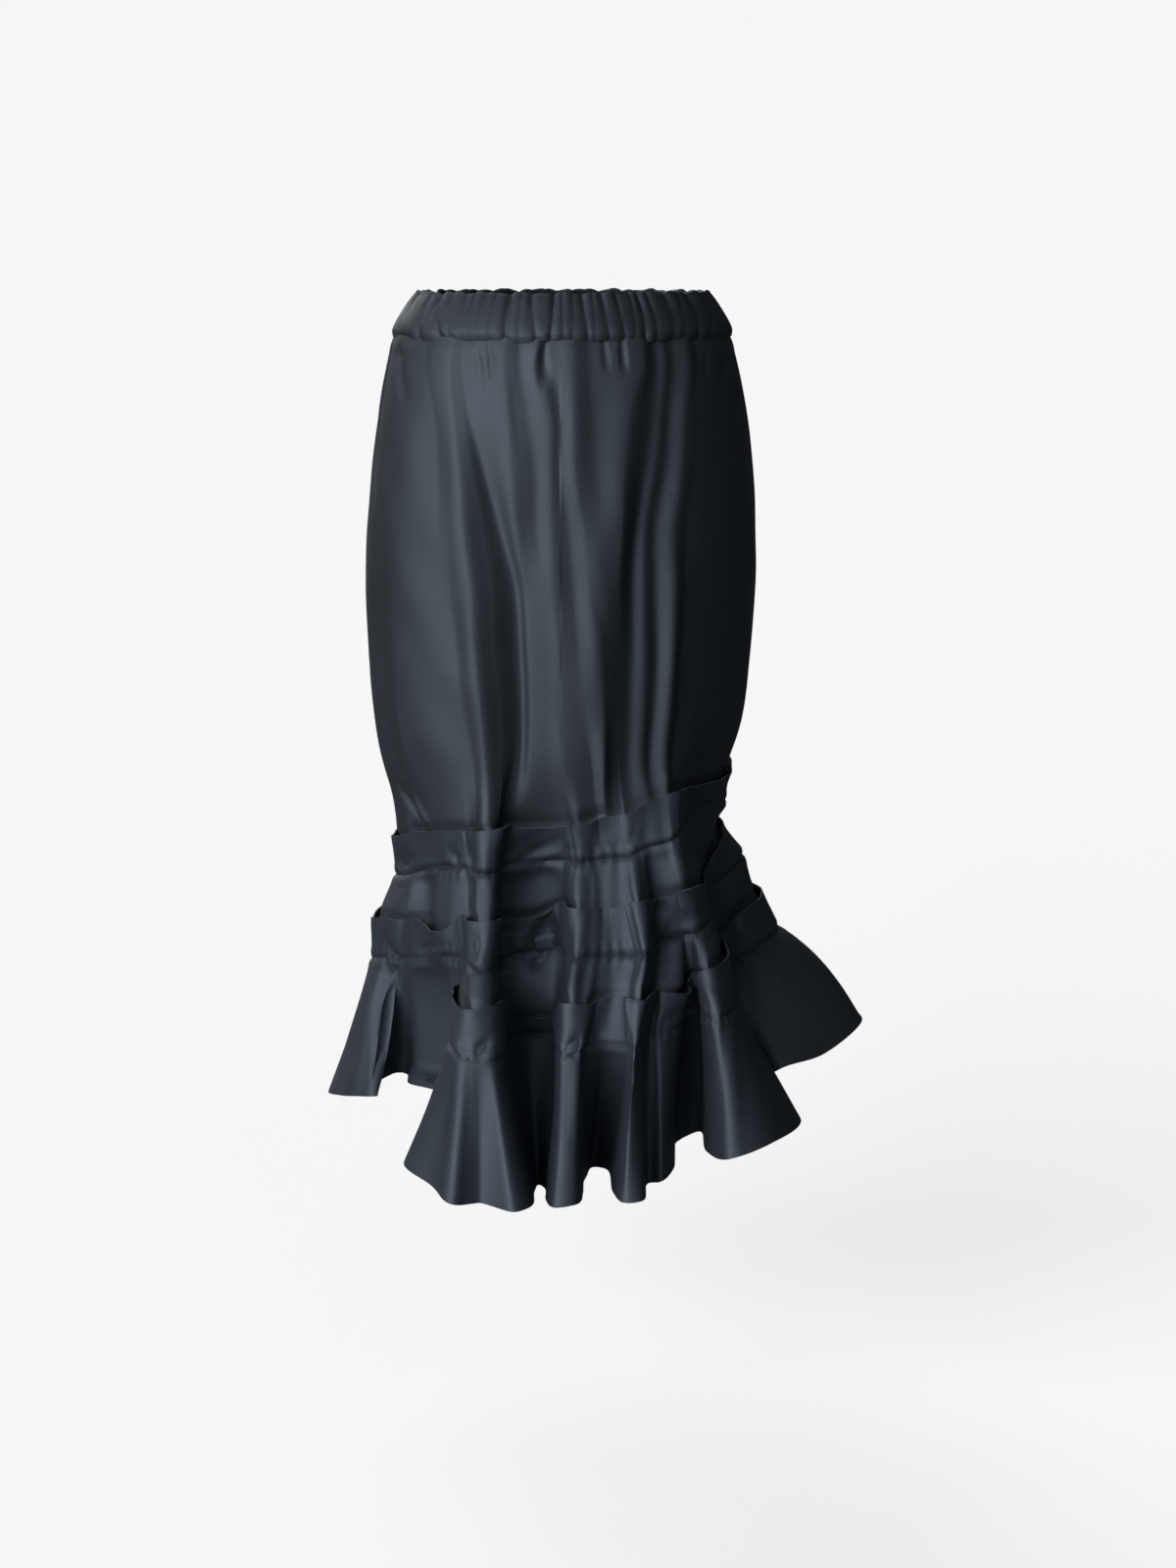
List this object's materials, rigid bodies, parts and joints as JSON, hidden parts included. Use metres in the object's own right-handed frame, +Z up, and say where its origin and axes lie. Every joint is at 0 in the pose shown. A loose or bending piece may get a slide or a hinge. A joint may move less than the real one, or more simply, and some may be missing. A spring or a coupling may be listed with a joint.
{
  "type": "ruffled skirt",
  "caption": "Dark satin midi skirt, hollow as worn: gathered elastic waistband, barrel body and a fluted ruffle strip sewn on in a rising spiral, with free headers and an open hem.",
  "frame": {"origin": "centre of the waist opening, half way up the waistband, where the wearer holds the skirt up", "axes": "+Z up along the body, front towards -Y, the wearer's left side towards +X"},
  "size_m": [0.495, 0.511, 0.7717],
  "materials": {
    "satin_band": "dark charcoal bonded satin over an elastic, gathered",
    "satin_body": "dark charcoal bonded satin twill, soft sheen",
    "satin_ruffle": "the same satin, raw cut edges"
  },
  "bodies": {
    "root": {"waistband": "satin_band", "body_front": "satin_body", "body_back": "satin_body", "ruffle_low_front": "satin_ruffle", "ruffle_low_back": "satin_ruffle", "ruffle_mid_front": "satin_ruffle", "ruffle_mid_back": "satin_ruffle", "ruffle_top_front": "satin_ruffle", "ruffle_top_back": "satin_ruffle"}
  },
  "joints": []
}
